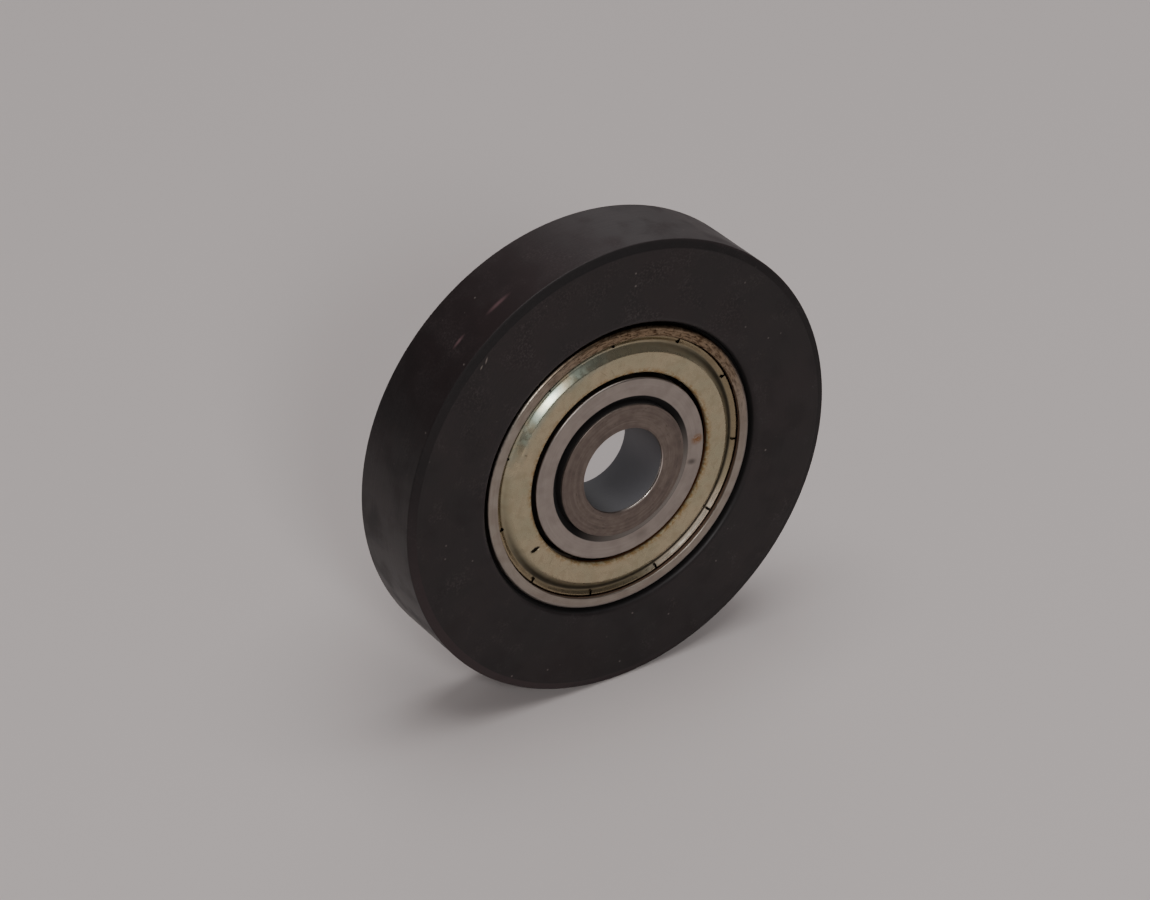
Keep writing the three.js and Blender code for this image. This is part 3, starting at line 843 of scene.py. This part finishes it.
def machined_plastic():
    """Dark thermoplastic bar, turned: a satin brown-black with shallow rings 0.3 mm apart, pale
    dust that gathers towards the top, specks, reddish rubs on the tread and nicks at its edge. The
    tread is painted lighter towards the top, a painted reflection. The chamfer is painted darker at
    the upper left, a painted dark reflection, and lighter at the lower left, where light falls on
    it: painted light. Round the bearing the mouth is painted black for dirt and for the shade in
    it."""
    made, tree = material("turned_black_brown_plastic")
    place, radius, along, direction = round_the_axis(tree)
    rings = turning_marks(tree, radius, along, direction, 0.3 * MM, 3.0)
    warm = patches(tree, place, 7.0 * MM, 0.35, 0.65)
    cloud = patches(tree, place, 4.0 * MM, 0.42, 0.7)
    dust = patches(tree, place, 0.22 * MM, 0.42, 0.75, 8.0)
    upper = facing(tree, direction, 355, 0.25)
    outermost = {0: radius, 1: TYRE_R - 0.3 * MM, 2: TYRE_R - 0.05 * MM}
    tread = node(tree, "MapRange", outermost, **SMOOTH)
    depth = node(tree, "Math", {0: along}, operation="ABSOLUTE")
    slope_foot, slope_top = TYRE_FACE - CHAMFER_AXIAL, TYRE_R - CHAMFER_RADIAL
    slope = {0: depth, 1: slope_foot - 0.08 * MM, 2: slope_foot}
    past_face = {0: radius, 1: slope_top - 0.05 * MM, 2: slope_top + 0.1 * MM}
    chamfer = together(
        tree, node(tree, "MapRange", slope, **SMOOTH), node(tree, "MapRange", past_face, **SMOOTH)
    )
    # Painted light: the chamfer is painted lighter at the lower left, where light falls on it.
    chamfer_lit_lower_left = together(tree, chamfer, facing(tree, direction, 220, 0.35))
    cells = node(tree, "TexVoronoi", {"Vector": place, "Scale": 1 / (1.5 * MM)}).node.outputs
    chance = node(tree, "SeparateXYZ", {0: cells["Color"]})
    dot = node(tree, "MapRange", {0: cells["Distance"], 1: 0.11, 2: 0.02}, **SMOOTH)
    specks = together(tree, dot, node(tree, "MapRange", {0: chance, 1: 0.66, 2: 0.95}, **SMOOTH))
    smudges = together(tree, patches(tree, place, 2.6 * MM, 0.5, 0.75), dust)
    rubs = [
        mark(tree, place, clock, TYRE_R, (half * MM, wide * MM, MM), 0.95, along=y * MM)
        for clock, y, half, wide in ((329.5, -1.8, 2.0, 0.4), (317.5, -1.3, 1.2, 0.3))
    ]
    nicks = [
        mark(tree, place, clock, r * MM, (0.12 * MM, 0.3 * MM, half * MM), 0.8, lean, -TYRE_FACE)
        for clock, r, half, lean in (
            (318, 24.1, 0.5, 60),
            (316, 24.05, 0.35, 75),
            (327.2, 25.2, 0.5, 80),
        )
    ]
    # The mouth round the bearing is painted black: dirt and painted shade.
    mouth = {0: radius, 1: MOUTH_R + 0.22 * MM, 2: MOUTH_R + 0.02 * MM}
    dirt_and_shade = node(tree, "MapRange", mouth, **SMOOTH)
    colour = coated(
        tree, "#160f10",
        ("#100a0b", together(tree, rings, 0.8)),
        ("#1d1213", together(tree, warm, 0.6)),
        ("#443b3b", together(tree, upper, cloud, dust, 0.6)),
        ("#4c4343", together(tree, smudges, 0.35)),
        # Painted reflection: the tread is painted lighter towards the top.
        ("#3f3031", together(tree, tread, facing(tree, direction, 5, 0.3), 0.35)),
        # Painted dark reflection: the chamfer is painted darker at the upper left.
        ("#0c0708", together(tree, chamfer, facing(tree, direction, 342, 0.4), 0.85)),
        ("#3c3031", together(tree, chamfer_lit_lower_left, 0.7)),
        ("#7a706c", together(tree, specks, 0.7)),
        *[("#7a5a5e", together(tree, rub, 0.55)) for rub in rubs],
        *[("#8a8078", together(tree, nick, 0.7)) for nick in nicks],
        ("#080505", dirt_and_shade),
    )
    satin = node(tree, "MapRange", {0: cloud, 3: 0.44, 4: 0.58})
    matt = node(tree, "Mix", {0: chamfer, 2: satin, 3: 0.75})
    rough = node(tree, "Mix", {0: dirt_and_shade, 2: matt, 3: 1.0})
    grain = node(tree, "TexNoise", {"Vector": place, "Scale": 1 / (0.2 * MM), "Detail": 3.0})
    worn = node(tree, "Bump", {"Height": grain, "Distance": 0.006 * MM})
    relief = node(tree, "Bump", {"Height": rings, "Distance": 0.01 * MM, "Normal": worn})
    shader = node(
        tree, "BsdfPrincipled",
        {"Base Color": colour, "Roughness": rough, "IOR": 1.49, "Normal": relief},
    )
    node(tree, "OutputMaterial", {0: shader})
    return made


tyre_end = [
    (TYRE_R, TYRE_FACE - CHAMFER_AXIAL, 0.2 * MM),
    (TYRE_R - CHAMFER_RADIAL, TYRE_FACE, 0.3 * MM),
    (MOUTH_R, TYRE_FACE, MOUTH_ROUNDING),
    (MOUTH_R, MOUTH_FLOOR, 0.04 * MM),
    (TYRE_BORE_R, MOUTH_FLOOR, 0.04 * MM),
]
tyre_start = [(r, -y, fillet) for r, y, fillet in reversed(tyre_end)]
tyre = surface("solid_tyre", turned(rounded([*tyre_start, *tyre_end], 10), TYRE_SIDES))
finish(tyre, machined_plastic(), "roller", "tyre", "roller_tyre")


# ---- Floor, light and camera ----
# A plain pale floor that the tread stands on, soft light from a large lamp above, a smaller one
# near the camera and a panel behind to the right, and a long lens a little above the roller.

FLOOR_SIZE = 3.0
SKY_STRENGTH = 0.22
LENS_LENGTH = 127.0
CAMERA_AZIMUTH = -33.4
CAMERA_ELEVATION = 31.06
CAMERA_DISTANCE = 0.4154
CAMERA_SIDEWAYS = -2.22 * MM


def matt_card():
    """Matt pale card, faintly pink."""
    made, tree = material("pale_floor_card")
    shader = node(tree, "BsdfPrincipled", {"Base Color": linear("#dcd3d1"), "Roughness": 0.9})
    node(tree, "OutputMaterial", {0: shader})
    return made


reach = FLOOR_SIZE / 2
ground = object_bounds()[0][2]
corners = [(-reach, -reach), (reach, -reach), (reach, reach), (-reach, reach)]
floor_mesh = bpy.data.meshes.new("studio_floor")
floor_mesh.from_pydata([(x, y, ground) for x, y in corners], [], [(0, 1, 2, 3)])
floor_mesh.materials.append(matt_card())
floor = bpy.data.objects.new("studio_floor", floor_mesh)
bpy.context.scene.collection.objects.link(floor)


def aim(thing, azimuth, elevation, distance, sideways=0.0):
    """Places a lamp or the camera at an azimuth, 0 looking along +Y, an elevation and a distance,
    facing the roller or a little to one side of it."""
    a, e = np.radians([azimuth, elevation])
    right = np.array([np.cos(a), np.sin(a), 0.0])
    up = np.array([-np.sin(a) * np.sin(e), np.cos(a) * np.sin(e), np.cos(e)])
    back = np.array([np.sin(a) * np.cos(e), -np.cos(a) * np.cos(e), np.sin(e)])
    matrix = np.eye(4)
    matrix[:3, :3] = np.stack([right, up, back], axis=-1)
    matrix[:3, 3] = back * distance + right * sideways
    thing.matrix_world = matrix.T.tolist()
    bpy.context.scene.collection.objects.link(thing)


def lamp(name, azimuth, elevation, distance, size, power):
    """A square soft lamp that faces the roller."""
    light = bpy.data.lights.new(name, "AREA")
    light.size = size
    light.energy = power
    aim(bpy.data.objects.new(name, light), azimuth, elevation, distance)


lamp("key_lamp", -21.0, 29.0, 0.9, 0.16, 2.2)
lamp("sky_lamp", 20.0, 85.0, 1.2, 1.0, 7.5)
lamp("back_panel", 142.0, 27.0, 1.0, 0.6, 0.7)

world = bpy.data.worlds.new("studio")
world.use_nodes = True
world.node_tree.nodes["Background"].inputs["Color"].default_value = linear("#c9c4c4")
world.node_tree.nodes["Background"].inputs["Strength"].default_value = SKY_STRENGTH
bpy.context.scene.world = world

lens = bpy.data.cameras.new("camera")
lens.sensor_width = 36.0
lens.lens = LENS_LENGTH
lens.clip_start = 0.01
camera = bpy.data.objects.new("camera", lens)
aim(camera, CAMERA_AZIMUTH, CAMERA_ELEVATION, CAMERA_DISTANCE, CAMERA_SIDEWAYS)
bpy.context.scene.camera = camera
